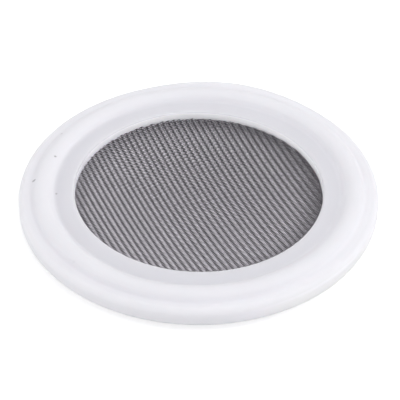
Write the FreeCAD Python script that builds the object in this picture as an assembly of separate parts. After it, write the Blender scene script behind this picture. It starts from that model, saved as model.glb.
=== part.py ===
import FreeCAD, Part
import math
import os

# Sanitary screen gasket: a moulded ring that holds a disc of woven wire across its bore.
# The origin is the centre of the ring on its middle plane, and +Z is its axis. Lengths are in mm.

# Ring
outer_diameter = 50.5
bore_diameter = 34.8
flange_thickness = 2.8
rim_corner_radius = 0.9
bore_corner_radius = 0.3

# Bead on each face of the ring
bead_circle_diameter = 43.6
bead_width = 3.1
bead_height = 0.8
bead_foot_radius = 0.8

# Woven wire of the screen: straight warp wires, with finer wires woven tightly over and under them
warp_wire_diameter = 0.23
shute_wire_diameter = 0.178
warp_pitch = 0.84
weave_angle = 23.6
valley_thickness = 0.24

# Pores of the screen: one slit in each valley between its ribs
pore_width = 0.11

# Screen in the ring: it sags to a shallow bowl, and its flat edge is moulded into the ring
screen_sag = 1.63
embedded_width = 2.8
edge_margin = 0.035
bond_clearance = 0.0

# Sizes that follow
outer_radius = outer_diameter / 2
bore_radius = bore_diameter / 2
flange_half = flange_thickness / 2
bead_radius = bead_circle_diameter / 2
screen_thickness = warp_wire_diameter + 2 * shute_wire_diameter
screen_half = screen_thickness / 2
screen_radius = bore_radius + embedded_width
edge_half = screen_half + edge_margin
slot_half = edge_half + bond_clearance
slot_radius = screen_radius + bond_clearance

UP = FreeCAD.Vector(0, 0, 1)
ACROSS = FreeCAD.Vector(1, 0, 0)
ORIGIN = FreeCAD.Vector(0, 0, 0)


def section_point(across, height):
    """A point of a section that is drawn in the XZ plane."""
    return FreeCAD.Vector(across, 0, height)


def line(start, end):
    return Part.LineSegment(start, end).toShape()


def arc(centre, radius, from_degrees, to_degrees):
    """An arc in the XZ plane, with its angles measured from +X towards +Z."""
    points = []
    for degrees in (from_degrees, (from_degrees + to_degrees) / 2, to_degrees):
        angle = math.radians(degrees)
        points.append(centre + radius * section_point(math.cos(angle), math.sin(angle)))
    return Part.Arc(*points).toShape()


def bead_edges():
    """The round bead and its two foot fillets, from the bore side to the rim side."""
    crown_radius = (bead_width ** 2 / 4 + bead_height ** 2) / (2 * bead_height)
    crown_centre = section_point(bead_radius, flange_half + bead_height - crown_radius)
    foot_height = flange_half + bead_foot_radius
    foot_reach = crown_radius + bead_foot_radius
    foot_rise = foot_height - crown_centre.z
    foot_offset = math.sqrt(foot_reach ** 2 - foot_rise ** 2)
    tangent = math.degrees(math.asin(foot_rise / foot_reach))
    inner_foot = section_point(bead_radius - foot_offset, foot_height)
    outer_foot = section_point(bead_radius + foot_offset, foot_height)
    return [
        arc(inner_foot, bead_foot_radius, -90, -tangent),
        arc(crown_centre, crown_radius, 180 - tangent, tangent),
        arc(outer_foot, bead_foot_radius, 180 + tangent, 270),
    ], foot_offset


def upper_edges():
    """The upper half of the ring's section, from the screen's slot over the bead to the rim."""
    bead, foot_offset = bead_edges()
    bore_centre = section_point(bore_radius + bore_corner_radius, flange_half - bore_corner_radius)
    rim_centre = section_point(outer_radius - rim_corner_radius, flange_half - rim_corner_radius)
    return [
        line(section_point(bore_radius, slot_half), section_point(bore_radius, bore_centre.z)),
        arc(bore_centre, bore_corner_radius, 180, 90),
        line(section_point(bore_centre.x, flange_half),
             section_point(bead_radius - foot_offset, flange_half)),
        *bead,
        line(section_point(bead_radius + foot_offset, flange_half),
             section_point(rim_centre.x, flange_half)),
        arc(rim_centre, rim_corner_radius, 90, 0),
    ]


def make_ring():
    """One revolved ring, alike on both faces, with a slot that holds the screen's edge."""
    rim_straight = flange_half - rim_corner_radius
    upper = upper_edges()
    lower = [edge.mirror(ORIGIN, UP) for edge in upper]
    slot = [
        line(section_point(bore_radius, slot_half), section_point(slot_radius, slot_half)),
        line(section_point(slot_radius, slot_half), section_point(slot_radius, -slot_half)),
        line(section_point(slot_radius, -slot_half), section_point(bore_radius, -slot_half)),
    ]
    rim = line(section_point(outer_radius, rim_straight), section_point(outer_radius, -rim_straight))
    outline = Part.Wire(Part.__sortEdges__(upper + lower + slot + [rim]))
    return Part.Face(outline).revolve(ORIGIN, UP, 360)


def bowl_radius():
    """The radius of the sphere whose cap spans the bore and sags by screen_sag."""
    return (bore_radius ** 2 + screen_sag ** 2) / (2 * screen_sag)


def bowl_height(distance):
    """The height of the screen's middle surface at a distance from the axis."""
    return bowl_radius() - screen_sag - math.sqrt(bowl_radius() ** 2 - distance ** 2)


def rib_section(wire):
    """The six-sided section of one rib: a warp wire with the shute wires that wrap it."""
    points = []
    valley_offset = (warp_pitch - pore_width) / 2
    for offset, half in (
        (-valley_offset, valley_thickness / 2),
        (0, screen_half),
        (valley_offset, valley_thickness / 2),
        (valley_offset, -valley_thickness / 2),
        (0, -screen_half),
        (-valley_offset, -valley_thickness / 2),
    ):
        across = wire * warp_pitch + offset
        points.append(section_point(across, bowl_height(across) + half))
    return Part.Face(Part.makePolygon(points + points[:1]))


def make_ribs():
    """The woven wall inside the bore: each rib is turned about one axis across the bowl."""
    last = math.ceil(bore_radius / warp_pitch - 0.5)
    sections = Part.makeCompound([rib_section(wire) for wire in range(-last, last + 1)])
    axis_point = section_point(0, bowl_radius() - screen_sag)
    half_turn = math.degrees(math.asin(screen_radius / bowl_radius()))
    sections.rotate(axis_point, ACROSS, -half_turn)
    ribs = sections.revolve(axis_point, ACROSS, 2 * half_turn)
    depth = screen_sag + screen_thickness
    trim = Part.makeCylinder(bore_radius, 2 * depth, FreeCAD.Vector(0, 0, -depth))
    return ribs.common(trim)


def make_screen():
    """The ribs of the bowl, joined by a flat edge that is moulded into the ring."""
    edge_bottom = FreeCAD.Vector(0, 0, -edge_half)
    edge = Part.makeCylinder(screen_radius, 2 * edge_half, edge_bottom)
    edge = edge.cut(Part.makeCylinder(bore_radius, 2 * edge_half, edge_bottom))
    screen = edge.fuse(make_ribs()).removeSplitter()
    screen.rotate(ORIGIN, UP, weave_angle)
    return screen


def only_solid(shape):
    """The one solid that a shape holds."""
    assert len(shape.Solids) == 1, "a piece must be one solid"
    return shape.Solids[0]


os.makedirs("parts", exist_ok=True)
for node, shape in (("gasket_ring", make_ring()), ("screen_mesh", make_screen())):
    solid = only_solid(shape)
    solid.exportStep("parts/" + node + ".step")
    print(node, "valid", solid.isValid(), "volume", round(solid.Volume, 2), "faces", len(solid.Faces))
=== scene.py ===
import math

import bpy
import numpy as np
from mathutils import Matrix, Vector


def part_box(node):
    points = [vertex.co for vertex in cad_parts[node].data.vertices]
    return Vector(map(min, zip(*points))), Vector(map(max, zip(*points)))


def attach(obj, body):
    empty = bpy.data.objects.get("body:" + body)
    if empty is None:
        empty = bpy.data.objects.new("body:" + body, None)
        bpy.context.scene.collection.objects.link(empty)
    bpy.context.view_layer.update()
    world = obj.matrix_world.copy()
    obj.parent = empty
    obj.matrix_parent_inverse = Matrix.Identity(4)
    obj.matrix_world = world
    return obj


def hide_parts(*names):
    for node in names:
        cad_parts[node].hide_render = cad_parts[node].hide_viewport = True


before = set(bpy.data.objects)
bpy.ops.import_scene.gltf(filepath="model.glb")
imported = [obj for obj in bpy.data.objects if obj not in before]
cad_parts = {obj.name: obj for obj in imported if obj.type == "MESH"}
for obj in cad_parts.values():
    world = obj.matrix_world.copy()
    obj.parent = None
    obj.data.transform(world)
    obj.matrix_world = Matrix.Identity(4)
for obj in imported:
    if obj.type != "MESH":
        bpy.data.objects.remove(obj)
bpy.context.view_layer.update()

# Sanitary screen gasket: a white moulded silicone ring that holds a woven steel screen.
# The frame's origin is the centre of the ring on its middle plane, with +X to the camera's right and
# +Y away from the camera. Lengths are in metres.
mm = 0.001

# Ring, with the same section as the CAD ring
ring_low, ring_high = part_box("gasket_ring")
outer_radius = ring_high.x
bead_top = ring_high.z
bore_radius = 17.4 * mm
flange_half = 1.4 * mm
rim_corner_radius = 0.9 * mm
bore_corner_radius = 0.3 * mm
bead_radius = 21.8 * mm
bead_half_width = 1.55 * mm
bead_height = bead_top - flange_half
bead_foot_radius = 0.8 * mm

# Steps of the ring's mesh, round the ring and along each stretch of its section
ring_steps = 360
bore_wall_steps = 4
bore_corner_steps = 6
land_steps = 6
bead_foot_steps = 5
bead_crown_steps = 18
flange_steps = 4
rim_corner_steps = 12

# Rim of the far side, which curls up a little between two angles in degrees
curl_height = 0.45 * mm
curl_start_radius = 23.3 * mm
curl_from = 42.0
curl_to = 112.0

# Bore, which is pulled a little oval and to one side
bore_pull_direction = math.radians(-38.0)
bore_pull = 0.04 * mm
bore_oval = 0.15 * mm
bore_pull_end = 20.0 * mm

# Woven screen: straight warp wires, with finer shute wires woven tightly over and under them
warp_pitch = 0.84 * mm
warp_wire_radius = 0.115 * mm
shute_pitch = 0.161 * mm
shute_wire_radius = 0.089 * mm
weave_angle = math.radians(23.6)
weave_height = warp_wire_radius + shute_wire_radius
screen_sag = 1.63 * mm
screen_radius = 19.6 * mm
shute_steps_per_pitch = 4
shute_sides = 6
warp_step = 0.6 * mm
warp_sides = 10
shute_groups = 4

# Slow drift of the weave's wires from an even spacing
weave_stretch = -0.09 * mm
weave_lean = 0.06 * mm
weave_bow = 0.26 * mm
weave_fan = 0.27 * mm

# Silicone: its plain colour, a darker one over the screen that is moulded in, paler ones of painted
# light on the bore's wall and on the rim's side at the lower right, and the colour of the specks
silicone_plain = (0.84, 0.835, 0.865, 1.0)
silicone_over_screen = (0.755, 0.75, 0.785, 1.0)
painted_wall_light_colour = (0.955, 0.945, 0.99, 1.0)
painted_rim_light_colour = (0.932, 0.918, 0.985, 1.0)
speck_colour = (0.10, 0.09, 0.09, 1.0)

# Edge of the screen in the ring: a little off centre, soft and wavy
screen_offset = (-0.12 * mm, -0.1 * mm, 0.0)
screen_fade_end = 20.4 * mm
screen_fade_start = 19.5 * mm
screen_wave = 0.35 * mm
screen_wave_scale = 260.0

# Bore's wall: the distances from the axis between which its painted tones fade, the upward share of the
# surface's normal at which its paler colour of painted light starts, a painted glow for the light that
# comes through it, and how much painted shade darkens the bore's edge on the left and painted light
# pales it on the far side, by the X and Y shares of the normal
wall_fade_end = 18.6 * mm
wall_fade_start = 18.2 * mm
wall_upward_share = 0.55
painted_wall_glow = 0.13
painted_wall_glow_colour = (0.91, 0.89, 1.0, 1.0)
painted_left_edge_shade = 0.13
left_edge_facing = (0.1, 0.8)
painted_far_edge_light = 0.07
far_edge_facing = (-0.1, -0.6)

# Outer foot of the bead, which painted light pales from left to right
foot_inner_fade = (22.9 * mm, 23.5 * mm)
foot_outer_fade = (24.7 * mm, 24.2 * mm)
painted_foot_light = 0.06
foot_tone_left = -10.0 * mm
foot_tone_right = 20.0 * mm

# Rim's side at the lower right, paler with painted light: its direction in degrees, the cosines of the
# turn from it between which its paler colour starts, and the distances from the axis between which it
# does
rim_direction = 314.0
rim_facing = (0.78, 0.98)
rim_fade = (24.0 * mm, 24.8 * mm)

# Silicone's faint mottling, turning marks and moulded grain
noise_low = 0.3
noise_high = 0.7
mottle_scale = 180.0
mottle_tone = 0.985
turning_scale = 1100.0
turning_waver = 1.5
turning_depth = 0.004 * mm
turning_strength = 0.35
grain_scale = 2600.0
grain_depth = 0.012 * mm
grain_strength = 0.5
satin_scale = 900.0
satin_roughness = (0.46, 0.56)

# Light in the silicone: its index of refraction, and how far and in which colour the light spreads
silicone_ior = 1.41
silicone_spread = 1.8 * mm
silicone_spread_colour = (1.0, 0.95, 0.95)

# Specks on the ring: angle in degrees, distance from the axis, radius, and how dark each one is
specks = (
    (177.2, 23.2 * mm, 0.34 * mm, 0.5),
    (163.8, 21.3 * mm, 0.27 * mm, 0.5),
    (149.0, 23.3 * mm, 0.24 * mm, 0.35),
    (184.3, 19.9 * mm, 0.24 * mm, 0.35),
    (224.0, 23.0 * mm, 0.30 * mm, 0.05),
)
speck_core = 0.3
speck_rough_scale = 4200.0
speck_rough_edge = 0.25 * mm

# Steel: its darker and brighter patches, and how dark a painted shade makes the hidden warp wires
steel_dark = (0.754, 0.722, 0.773)
steel_bright = (0.852, 0.816, 0.872)
patch_scale = 1500.0
patch_low = 0.35
patch_high = 0.65
painted_warp_shade = 0.3

# Steel: where on a wire's side a painted shade darkens it, and to what share
side_start = 0.25
side_end = 0.8
painted_side_shade = 0.3

# Steel: fine draw marks along each wire
mark_scale = 22000.0
mark_stretch = 0.12
mark_tone = 0.85
mark_depth = 0.004 * mm
mark_strength = 0.4
steel_roughness = (0.22, 0.32)

# Painted rope-like ticks of shade and highlight on the ribs: turns a metre across and along the weave,
# how those grow with the distance from the middle, how strong the ticks are on the near and far sides,
# the share of that which is left at the screen's left edge, and how far to the right of the middle they
# are at full
tick_across = 1270.0
tick_along = 1180.0
tick_grow_across = 0.032e6
tick_grow_along = 0.0177e6
tick_near = 0.05
tick_far = 0.62
tick_left_share = 0.28
tick_full_reach = 11.0 * mm

# Ribs: painted shade and light on their slopes: how much darker their right slopes are painted on the
# near side, and on the far side, where they are painted brighter instead
painted_slope_near = 0.42
painted_slope_far = -0.25

# Soft shadow that the bore's wall leaves on the screen: its direction, its offset and its range,
# how much the whole screen darkens towards it, and how much the ribs' right slopes darken in it
shadow_direction = math.radians(52.0)
shadow_offset = 1.1 * mm
shadow_start = 13.6 * mm
shadow_end = 19.4 * mm
shadow_tone = 0.5
shadow_fade = 0.07
shadow_slope = 0.5

# Light: an even sky with soft lights in it, each with its azimuth, elevation and spread in degrees,
# and its strength. Metal also sees a bright card, and a white backdrop all round, which fades out
# between two heights above the horizon.
sky_colour = (0.985, 0.985, 1.0, 1.0)
sky_level = 0.28
soft_lights = (
    (13.0, 50.5, 23.0, 2.55),
    (176.0, 15.0, 14.0, 3.3),
    (261.0, 22.0, 14.0, 2.1),
)
card = (4.0, 4.0, 14.0, 8.6)
backdrop_full = 0.16
backdrop_top = 0.28

# Floor
floor_half_width = 3.0
floor_lift = 0.55
floor_colour = (0.78, 0.78, 0.78, 1.0)
white = (1.0, 1.0, 1.0, 1.0)

# Camera: the photograph's distance, height and framing
camera_distance = 225.9 * mm
camera_elevation = math.radians(40.0)
camera_lens = 144.3
camera_nearest = 0.01
camera_farthest = 20.0
aim_right = 0.21 * mm
aim_down = 0.79 * mm


def smooth_step(value):
    """0 below 0, 1 above 1, and a smooth rise between."""
    value = np.clip(value, 0.0, 1.0)
    return value * value * (3.0 - 2.0 * value)


def towards(azimuth, elevation):
    """The direction of an azimuth, from +X towards +Y, and an elevation, both in degrees."""
    turn, rise = math.radians(azimuth), math.radians(elevation)
    return math.cos(turn) * math.cos(rise), math.sin(turn) * math.cos(rise), math.sin(rise)


def arc_points(centre, radius, from_degrees, to_degrees, steps):
    """Points of an arc in the ring's section, with its angles from outwards to upwards."""
    angles = np.radians(np.linspace(from_degrees, to_degrees, steps + 1))
    return [(centre[0] + radius * math.cos(a), centre[1] + radius * math.sin(a)) for a in angles]


def line_points(start, end, steps):
    """Points between two points of the ring's section, without its ends."""
    shares = np.linspace(0.0, 1.0, steps + 1)[1:-1]
    return [tuple(np.add(start, np.subtract(end, start) * share)) for share in shares]


def bead_points():
    """The bead's section with its two foot fillets, and how far the feet are from its middle."""
    crown_radius = (bead_half_width ** 2 + bead_height ** 2) / (2.0 * bead_height)
    crown = (bead_radius, bead_top - crown_radius)
    foot_height = flange_half + bead_foot_radius
    foot_rise = foot_height - crown[1]
    foot_reach = crown_radius + bead_foot_radius
    foot_offset = math.sqrt(foot_reach ** 2 - foot_rise ** 2)
    tangent = math.degrees(math.asin(foot_rise / foot_reach))
    inner_foot = (bead_radius - foot_offset, foot_height)
    outer_foot = (bead_radius + foot_offset, foot_height)
    points = arc_points(inner_foot, bead_foot_radius, -90.0, -tangent, bead_foot_steps)
    points += arc_points(crown, crown_radius, 180.0 - tangent, tangent, bead_crown_steps)[1:]
    points += arc_points(outer_foot, bead_foot_radius, 180.0 + tangent, 270.0, bead_foot_steps)[1:]
    return points, foot_offset


def upper_section():
    """The upper half of the ring's section, from the middle of its bore to the middle of its rim."""
    bead, foot_offset = bead_points()
    bore = (bore_radius + bore_corner_radius, flange_half - bore_corner_radius)
    rim = (outer_radius - rim_corner_radius, flange_half - rim_corner_radius)
    land = ((bore[0], flange_half), (bead_radius - foot_offset, flange_half))
    flange = ((bead_radius + foot_offset, flange_half), (rim[0], flange_half))
    points = [(bore_radius, 0.0)]
    points += line_points((bore_radius, 0.0), (bore_radius, bore[1]), bore_wall_steps)
    points += arc_points(bore, bore_corner_radius, 180.0, 90.0, bore_corner_steps)
    points += line_points(*land, land_steps)
    points += bead
    points += line_points(*flange, flange_steps)
    points += arc_points(rim, rim_corner_radius, 90.0, 0.0, rim_corner_steps)
    points.append((outer_radius, 0.0))
    return points


def new_object(name, points, faces, smooth=True):
    """A mesh object, from its points and its faces' point numbers."""
    mesh = bpy.data.meshes.new(name)
    mesh.from_pydata(points, [], faces)
    mesh.validate()
    if smooth:
        mesh.shade_smooth()
    piece = bpy.data.objects.new(name, mesh)
    bpy.context.scene.collection.objects.link(piece)
    return piece


def curl(radius, turn):
    """How far a point of the rim is lifted, by its distance from the axis and its angle."""
    middle = math.radians((curl_from + curl_to) / 2.0)
    half_width = math.radians((curl_to - curl_from) / 2.0)
    along = smooth_step(1.0 - np.abs(turn - middle) / half_width)
    across = smooth_step((radius - curl_start_radius) / (outer_radius - curl_start_radius))
    return curl_height * along * across


def pull(radius, turn):
    """How far a point near the bore is drawn outwards, by its distance from the axis and its angle."""
    away = turn - bore_pull_direction
    fade = smooth_step((bore_pull_end - radius) / (bore_pull_end - bore_radius))
    return fade * (bore_pull * np.cos(away) + bore_oval * np.cos(2.0 * away))


def make_ring():
    """The moulded ring, turned from its section."""
    upper = upper_section()
    lower = [(r, -z) for r, z in reversed(upper[1:-1])]
    section = np.array(upper + lower)
    turns = np.arange(ring_steps) * 2.0 * math.pi / ring_steps
    radius = np.repeat(section[None, :, 0], ring_steps, axis=0)
    height = np.repeat(section[None, :, 1], ring_steps, axis=0)
    turn = np.repeat(turns[:, None], len(section), axis=1)
    height = height + curl(radius, turn)
    radius = radius + pull(radius, turn)
    points = np.stack([radius * np.cos(turn), radius * np.sin(turn), height], axis=-1)
    count = len(section)
    faces = []
    for step in range(ring_steps):
        start = step * count
        after = (step + 1) % ring_steps * count
        for k in range(count):
            n = (k + 1) % count
            faces.append((start + k, after + k, after + n, start + n))
    return new_object("silicone_ring", points.reshape(-1, 3).tolist(), faces)


def drift(across, along):
    """How far the weave's wires are drawn sideways from an even spacing."""
    u, v = across / bore_radius, along / bore_radius
    return weave_stretch * u + weave_lean * v + weave_bow * u * u + weave_fan * u * v


def bowl(across, along):
    """Points of the screen's middle surface and its normals there, flat past the bore."""
    sphere = (bore_radius ** 2 + screen_sag ** 2) / (2.0 * screen_sag)
    across = across + drift(across, along)
    distance = np.minimum(np.hypot(across, along), bore_radius)
    height = sphere - screen_sag - np.sqrt(sphere ** 2 - distance ** 2)
    inside = np.hypot(across, along) < bore_radius
    lean = np.where(inside, 1.0, 0.0) / sphere
    normals = np.stack([-across * lean, -along * lean, np.ones_like(across)], axis=-1)
    normals /= np.linalg.norm(normals, axis=-1, keepdims=True)
    return np.stack([across, along, height], axis=-1), normals


def turn_weave(points):
    """Points of the weave, turned from its own axes to the frame's."""
    c, s = math.cos(weave_angle), math.sin(weave_angle)
    across, along = points[:, 0].copy(), points[:, 1].copy()
    points[:, 0] = c * across - s * along
    points[:, 1] = s * across + c * along
    return points


def tube(path, normals, radius, sides):
    """Points and faces of a closed round wire along a path."""
    tangents = np.gradient(path, axis=0)
    tangents /= np.linalg.norm(tangents, axis=1, keepdims=True)
    side = np.cross(normals, tangents)
    side /= np.linalg.norm(side, axis=1, keepdims=True)
    up = np.cross(tangents, side)
    angles = (np.arange(sides) + 0.5) * 2.0 * math.pi / sides
    sideways = np.cos(angles)[None, :, None] * side[:, None]
    upwards = np.sin(angles)[None, :, None] * up[:, None]
    points = (path[:, None] + radius * (sideways + upwards)).reshape(-1, 3)
    faces = []
    for step in range(len(path) - 1):
        start = step * sides
        for k in range(sides):
            n = (k + 1) % sides
            faces.append((start + k, start + n, start + sides + n, start + sides + k))
    last = (len(path) - 1) * sides
    faces.append(tuple(range(sides - 1, -1, -1)))
    faces.append(tuple(last + k for k in range(sides)))
    return points, faces


def make_wires(name, tubes):
    """One piece that holds many wires."""
    points, faces, start = [], [], 0
    for wire_points, wire_faces in tubes:
        points.append(wire_points)
        faces += [tuple(start + k for k in face) for face in wire_faces]
        start += len(wire_points)
    return new_object(name, turn_weave(np.concatenate(points)).tolist(), faces)


def warp_wires():
    """The straight wires, one on each rib of the screen."""
    last = int(screen_radius / warp_pitch)
    tubes = []
    for wire in range(-last, last + 1):
        across = wire * warp_pitch
        reach = math.sqrt(screen_radius ** 2 - across ** 2)
        along = np.linspace(-reach, reach, max(3, round(2.0 * reach / warp_step)))
        path, normals = bowl(np.full_like(along, across), along)
        tubes.append(tube(path, normals, warp_wire_radius, warp_sides))
    return make_wires("screen_warp_wires", tubes)


def shute_wires(group):
    """Every few shute wires, which pass over one warp wire and under the next."""
    last = int(screen_radius / shute_pitch)
    tubes = []
    for wire in range(-last, last + 1):
        if wire % shute_groups != group:
            continue
        along = wire * shute_pitch
        reach = math.sqrt(screen_radius ** 2 - along ** 2)
        steps = int(reach / warp_pitch * shute_steps_per_pitch)
        if steps < 2:
            continue
        across = np.arange(-steps, steps + 1) * warp_pitch / shute_steps_per_pitch
        path, normals = bowl(across, np.full_like(across, along))
        wave = np.cos(math.pi * (across / warp_pitch + wire))
        path = path + normals * (weave_height * wave)[:, None]
        tubes.append(tube(path, normals, shute_wire_radius, shute_sides))
    return make_wires(f"screen_shute_wires_{group + 1}", tubes)


class Nodes:
    """Short calls that add a material's nodes."""

    def __init__(self, tree):
        self.tree = tree
        self.tree.nodes.clear()

    def add(self, kind, inputs=None, **settings):
        node = self.tree.nodes.new(kind)
        for name, value in settings.items():
            setattr(node, name, value)
        for name, value in (inputs or {}).items():
            self.put(node, name, value)
        return node

    def put(self, node, name, value):
        if isinstance(value, bpy.types.NodeSocket):
            self.tree.links.new(value, node.inputs[name])
        else:
            node.inputs[name].default_value = value

    def place(self):
        """The place of a point in the frame."""
        return self.add("ShaderNodeTexCoord").outputs["Object"]

    def normal(self):
        """The way that the surface faces."""
        return self.add("ShaderNodeNewGeometry").outputs["Normal"]

    def math(self, operation, first, second=0.0, third=0.0):
        node = self.add("ShaderNodeMath", {0: first, 1: second, 2: third}, operation=operation)
        return node.outputs[0]

    def times(self, first, second):
        return self.math("MULTIPLY", first, second)

    def centred(self, value, width):
        """A value from 0 to 1, turned to one about 0 with a given width."""
        return self.times(self.math("SUBTRACT", value, 0.5), width)

    def parts(self, vector):
        """The X, Y and Z of a vector."""
        node = self.add("ShaderNodeSeparateXYZ", {0: vector})
        return node.outputs["X"], node.outputs["Y"], node.outputs["Z"]

    def dot(self, vector, direction):
        node = self.add("ShaderNodeVectorMath", {0: vector, 1: direction}, operation="DOT_PRODUCT")
        return node.outputs["Value"]

    def distance(self, first, second):
        node = self.add("ShaderNodeVectorMath", {0: first, 1: second}, operation="DISTANCE")
        return node.outputs["Value"]

    def level(self, vector):
        """A vector with no height."""
        return self.add("ShaderNodeMapping", {"Vector": vector, "Scale": (1.0, 1.0, 0.0)}).outputs[0]

    def turned(self, vector, angle):
        """A vector in axes that are turned by an angle about Z."""
        turn = {"Vector": vector, "Rotation": (0.0, 0.0, -angle)}
        return self.add("ShaderNodeMapping", turn).outputs[0]

    def ramp(self, value, start, end, low=0.0, high=1.0):
        """A smooth change from low to high as a value goes from start to end."""
        node = self.add(
            "ShaderNodeMapRange",
            {"Value": value, "From Min": start, "From Max": end, "To Min": low, "To Max": high},
            interpolation_type="SMOOTHSTEP",
        )
        return node.outputs["Result"]

    def noise(self, vector, scale, detail=3.0):
        node = self.add("ShaderNodeTexNoise", {"Vector": vector, "Scale": scale, "Detail": detail})
        return node.outputs["Fac"]

    def mix(self, factor, first, second, blend="MIX"):
        node = self.add("ShaderNodeMix", data_type="RGBA", blend_type=blend)
        self.put(node, 0, factor)
        self.put(node, 6, first)
        self.put(node, 7, second)
        return node.outputs[2]

    def shade(self, colour, tone):
        """A colour made darker or paler by a share."""
        return self.mix(1.0, colour, tone, "MULTIPLY")

    def blend(self, factor, first, second):
        """A number between two others."""
        node = self.add("ShaderNodeMix", {0: factor, 2: first, 3: second}, data_type="FLOAT")
        return node.outputs[0]

    def bump(self, height, distance, strength, normal=None):
        node = self.add("ShaderNodeBump", {"Height": height, "Distance": distance, "Strength": strength})
        if normal is not None:
            self.put(node, "Normal", normal)
        return node.outputs["Normal"]

    def finish(self, shader):
        self.add("ShaderNodeOutputMaterial", {"Surface": shader})


def new_material(name):
    material = bpy.data.materials.new(name)
    material.use_nodes = True
    return material, Nodes(material.node_tree)


def land_colour(n, place, distance):
    """The silicone's colour, darker where the screen lies under it."""
    waver = n.centred(n.noise(place, screen_wave_scale), screen_wave)
    screen_mask = n.ramp(n.math("ADD", distance, waver), screen_fade_end, screen_fade_start)
    return n.mix(screen_mask, silicone_plain, silicone_over_screen)


def paint_wall_light(n, colour, distance, normal):
    """The colour with painted light on the bore's paler wall and painted shade and light on its edge,
    and how much of a point is that wall.
    """
    facing_x, facing_y, facing_z = n.parts(normal)
    near_bore = n.ramp(distance, wall_fade_end, wall_fade_start)
    wall = n.times(n.ramp(n.math("ABSOLUTE", facing_z), wall_upward_share, 0.0), near_bore)
    colour = n.mix(wall, colour, painted_wall_light_colour)
    # Painted light on the bore's edge on the far side, and painted shade on its left side, by which way
    # the surface faces
    far_painted_light = n.ramp(facing_y, *far_edge_facing, 0.0, painted_far_edge_light)
    left_painted_shade = n.ramp(facing_x, *left_edge_facing, 0.0, painted_left_edge_shade)
    edge_painted_tone = n.math("MULTIPLY_ADD", n.math("SUBTRACT", far_painted_light, left_painted_shade), near_bore, third=1.0)
    return n.shade(colour, edge_painted_tone), wall


def paint_foot_light(n, colour, distance, east):
    """The colour, with painted light that pales the bead's outer foot towards the right."""
    foot = n.times(n.ramp(distance, *foot_inner_fade), n.ramp(distance, *foot_outer_fade))
    paler = n.times(foot, n.ramp(east, foot_tone_left, foot_tone_right, 0.0, painted_foot_light))
    return n.shade(colour, n.math("ADD", paler, 1.0))


def paint_rim_light(n, colour, distance, normal):
    """The colour, with painted light that pales the rim's side at the lower right."""
    outwards = n.ramp(n.dot(normal, towards(rim_direction, 0.0)), *rim_facing)
    rim = n.times(outwards, n.ramp(distance, *rim_fade))
    return n.mix(rim, colour, painted_rim_light_colour)


def add_specks(n, colour, place, flat, up):
    """The colour with a few dark specks on the upper face."""
    rough_edge = n.centred(n.noise(place, speck_rough_scale), speck_rough_edge)
    above = n.math("GREATER_THAN", up, 0.0)
    for turn, reach, size, dark in specks:
        angle = math.radians(turn)
        centre = (reach * math.cos(angle), reach * math.sin(angle), 0.0)
        away = n.math("ADD", n.distance(flat, centre), rough_edge)
        spot = n.ramp(away, size, speck_core * size, 0.0, dark)
        colour = n.mix(n.times(spot, above), colour, speck_colour)
    return colour


def silicone_relief(n, place, flat):
    """Faint turning marks of the mould, with a fine grain over them."""
    turning = n.add(
        "ShaderNodeTexWave",
        {"Vector": flat, "Scale": turning_scale, "Distortion": turning_waver},
        wave_type="RINGS",
        rings_direction="Z",
    )
    marks = n.bump(turning.outputs["Fac"], turning_depth, turning_strength)
    return n.bump(n.noise(place, grain_scale, detail=4.0), grain_depth, grain_strength, marks)


def silicone_material():
    """Satin white silicone: darker over the moulded-in screen, with painted light and shade on the
    bore's wall and edge, the bead's foot and the rim's side, a painted glow on the bore's wall, faintly
    mottled, with a few specks.
    """
    material, n = new_material("silicone")
    place = n.place()
    normal = n.normal()
    east, north, up = n.parts(place)
    flat = n.add("ShaderNodeCombineXYZ", {"X": east, "Y": north}).outputs[0]
    distance = n.distance(flat, screen_offset)
    colour = land_colour(n, place, distance)
    colour, wall = paint_wall_light(n, colour, distance, normal)
    colour = paint_foot_light(n, colour, distance, east)
    colour = paint_rim_light(n, colour, distance, normal)
    mottle = n.noise(place, mottle_scale, detail=4.0)
    colour = n.shade(colour, n.ramp(mottle, noise_low, noise_high, mottle_tone, 1.0))
    colour = add_specks(n, colour, place, flat, up)
    satin = n.noise(place, satin_scale)
    shader = n.add(
        "ShaderNodeBsdfPrincipled",
        {
            "Base Color": colour,
            "Roughness": n.ramp(satin, noise_low, noise_high, *satin_roughness),
            "Normal": silicone_relief(n, place, flat),
            "IOR": silicone_ior,
            "Subsurface Weight": 1.0,
            "Subsurface Radius": silicone_spread_colour,
            "Subsurface Scale": silicone_spread,
            # Painted glow on the bore's wall, which is no lamp, for the light that comes through the
            # silicone
            "Emission Color": painted_wall_glow_colour,
            "Emission Strength": n.times(wall, painted_wall_glow),
        },
    )
    n.finish(shader.outputs[0])
    return material


def wire_colour(n, place, normal, marks, along_angle, shade):
    """The colour of drawn wire: patchy, with painted shade on its sides, and darker in its draw marks.
    """
    dark = (*(part * shade for part in steel_dark), 1.0)
    bright = (*(part * shade for part in steel_bright), 1.0)
    colour = n.mix(n.ramp(n.noise(place, patch_scale), patch_low, patch_high), dark, bright)
    # Painted shade on the wire's sides
    sideways = (-math.sin(along_angle), math.cos(along_angle), 0.0)
    side = n.math("ABSOLUTE", n.dot(normal, sideways))
    colour = n.shade(colour, n.ramp(side, side_start, side_end, 1.0, painted_side_shade))
    return n.shade(colour, n.ramp(marks, noise_low, noise_high, mark_tone, 1.0))


def paint_rib_slopes(n, normal, north, reach):
    """A painted tone of shade and light for the two slopes of each rib, by how far the point lies in the
    wall's painted shadow.
    """
    across = (math.cos(weave_angle), math.sin(weave_angle), 0.0)
    tone = n.ramp(north, -bore_radius, bore_radius, -painted_slope_near, -painted_slope_far)
    tone = n.math("SUBTRACT", tone, n.ramp(reach, shadow_start, shadow_end, 0.0, shadow_slope))
    return n.math("MULTIPLY_ADD", n.dot(normal, across), tone, third=1.0)


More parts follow.
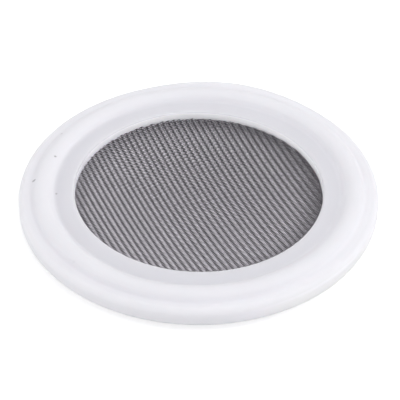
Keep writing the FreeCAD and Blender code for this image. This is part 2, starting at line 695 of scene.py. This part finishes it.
def turns_along(n, length, turns, growth):
    """How many ticks lie along a length from the middle of the weave."""
    return n.times(length, n.math("MULTIPLY_ADD", length, growth, third=turns))


def paint_rope_ticks(n, place, north):
    """Painted ticks of shade and highlight across the ribs, stronger towards the far side."""
    across, along = n.parts(n.turned(place, weave_angle))[:2]
    turns = n.math(
        "ADD",
        turns_along(n, across, tick_across, tick_grow_across),
        turns_along(n, along, tick_along, tick_grow_along),
    )
    wave = n.math("SINE", n.times(turns, 2.0 * math.pi))
    strength = n.ramp(north, -bore_radius, bore_radius, tick_near, tick_far)
    share = n.ramp(across, -bore_radius, tick_full_reach, tick_left_share, 1.0)
    return n.math("MULTIPLY_ADD", wave, n.times(strength, share), third=1.0)


def paint_screen_tones(n, colour, place, normal):
    """The colour with the painted tones of the whole screen: painted shade and light on the slopes,
    painted ticks, and the bore wall's painted shadow.
    """
    north = n.parts(place)[1]
    way = (math.cos(shadow_direction), math.sin(shadow_direction), 0.0)
    centre = (-shadow_offset * way[0], -shadow_offset * way[1], 0.0)
    reach = n.distance(n.level(place), centre)
    colour = n.shade(colour, paint_rib_slopes(n, normal, north, reach))
    colour = n.shade(colour, paint_rope_ticks(n, place, north))
    colour = n.shade(colour, n.ramp(reach, shadow_start, shadow_end, 1.0, shadow_tone))
    near_wall = n.dot(place, way)
    fade = n.ramp(near_wall, -bore_radius, bore_radius, 1.0 + shadow_fade, 1.0 - shadow_fade)
    return n.shade(colour, fade)


def steel_material(name, along_angle, shade):
    """Dull drawn stainless wire, with fine draw marks along it, and painted light and shade on the
    screen's ribs.
    """
    material, n = new_material(name)
    place = n.place()
    normal = n.normal()
    along_wire = {"Vector": n.turned(place, along_angle), "Scale": (mark_stretch, 1.0, 1.0)}
    marks = n.noise(n.add("ShaderNodeMapping", along_wire).outputs[0], mark_scale, detail=2.0)
    colour = wire_colour(n, place, normal, marks, along_angle, shade)
    shader = n.add(
        "ShaderNodeBsdfPrincipled",
        {
            "Base Color": paint_screen_tones(n, colour, place, normal),
            "Roughness": n.ramp(marks, noise_low, noise_high, *steel_roughness),
            "Normal": n.bump(marks, mark_depth, mark_strength),
            "Metallic": 1.0,
        },
    )
    n.finish(shader.outputs[0])
    return material


def background_rays(n):
    """1 for the rays that should see a white background: the camera's, and those off metal."""
    rays = n.add("ShaderNodeLightPath")
    seen = n.math("MAXIMUM", rays.outputs["Is Camera Ray"], rays.outputs["Is Glossy Ray"])
    return n.math("MAXIMUM", seen, rays.outputs["Is Transmission Ray"])


def floor_material():
    """A white floor that keeps a soft shadow and is white to the camera elsewhere."""
    material, n = new_material("floor")
    lift = n.add("ShaderNodeEmission", {"Color": white})
    n.put(lift, "Strength", n.times(background_rays(n), floor_lift))
    paint = n.add("ShaderNodeBsdfDiffuse", {"Color": floor_colour})
    both = n.add("ShaderNodeAddShader", {0: lift.outputs[0], 1: paint.outputs[0]})
    n.finish(both.outputs[0])
    return material


def make_floor():
    """A wide plain floor at the foot of the ring's lower bead."""
    half = floor_half_width
    height = ring_low.z
    corners = [(x * half, y * half, height) for x, y in ((-1, -1), (1, -1), (1, 1), (-1, 1))]
    floor = new_object("floor", corners, [(0, 1, 2, 3)], smooth=False)
    floor.data.materials.append(floor_material())


def soft_light(n, way, azimuth, elevation, spread, level):
    """A soft round light in the sky: its strength as seen along a direction."""
    near = n.math("SUBTRACT", n.dot(way, towards(azimuth, elevation)), 1.0)
    fall = n.times(near, math.radians(spread) ** -2)
    return n.times(n.math("EXPONENT", fall), level)


def make_world():
    """Soft light all round, with a white background for the camera and for metal."""
    world = bpy.data.worlds.new("studio")
    bpy.context.scene.world = world
    world.use_nodes = True
    n = Nodes(world.node_tree)
    way = n.add("ShaderNodeTexCoord").outputs["Generated"]
    strength = sky_level
    for light in soft_lights:
        strength = n.math("ADD", soft_light(n, way, *light), strength)
    height = n.parts(way)[2]
    backdrop = n.math("MAXIMUM", strength, n.ramp(height, backdrop_top, backdrop_full))
    metal_sees = n.math("ADD", backdrop, soft_light(n, way, *card))
    rays = n.add("ShaderNodeLightPath")
    mirrored = n.math("MAXIMUM", rays.outputs["Is Glossy Ray"], rays.outputs["Is Transmission Ray"])
    strength = n.blend(mirrored, strength, metal_sees)
    strength = n.blend(rays.outputs["Is Camera Ray"], strength, 1.0)
    sky = n.add("ShaderNodeBackground", {"Color": sky_colour, "Strength": strength})
    n.add("ShaderNodeOutputWorld", {"Surface": sky.outputs[0]})


def make_camera():
    """The photograph's view, from the front and above."""
    data = bpy.data.cameras.new("camera")
    data.lens = camera_lens
    data.clip_start = camera_nearest
    data.clip_end = camera_farthest
    camera = bpy.data.objects.new("camera", data)
    back = Vector((0.0, -math.cos(camera_elevation), math.sin(camera_elevation)))
    up = Vector((0.0, math.sin(camera_elevation), math.cos(camera_elevation)))
    camera.location = back * camera_distance
    aim = Vector((aim_right, 0.0, 0.0)) - up * aim_down
    camera.rotation_euler = (camera.location - aim).to_track_quat("Z", "Y").to_euler()
    bpy.context.scene.collection.objects.link(camera)
    bpy.context.scene.camera = camera


def dress(piece, material):
    piece.data.materials.append(material)
    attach(piece, "root")


ring = make_ring()
dress(ring, silicone_material())
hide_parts("gasket_ring")

warp = warp_wires()
# The warp wires get a painted shade, darker than the shute wires, as they lie hidden under them
dress(warp, steel_material("warp_wire", weave_angle + math.pi / 2.0, painted_warp_shade))
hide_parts("screen_mesh")
shute_steel = steel_material("shute_wire", weave_angle, 1.0)
for group in range(shute_groups):
    wires = shute_wires(group)
    dress(wires, shute_steel)
    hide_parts("screen_mesh")

make_floor()
make_world()
make_camera()

scene = bpy.context.scene
scene.view_settings.view_transform = "Standard"
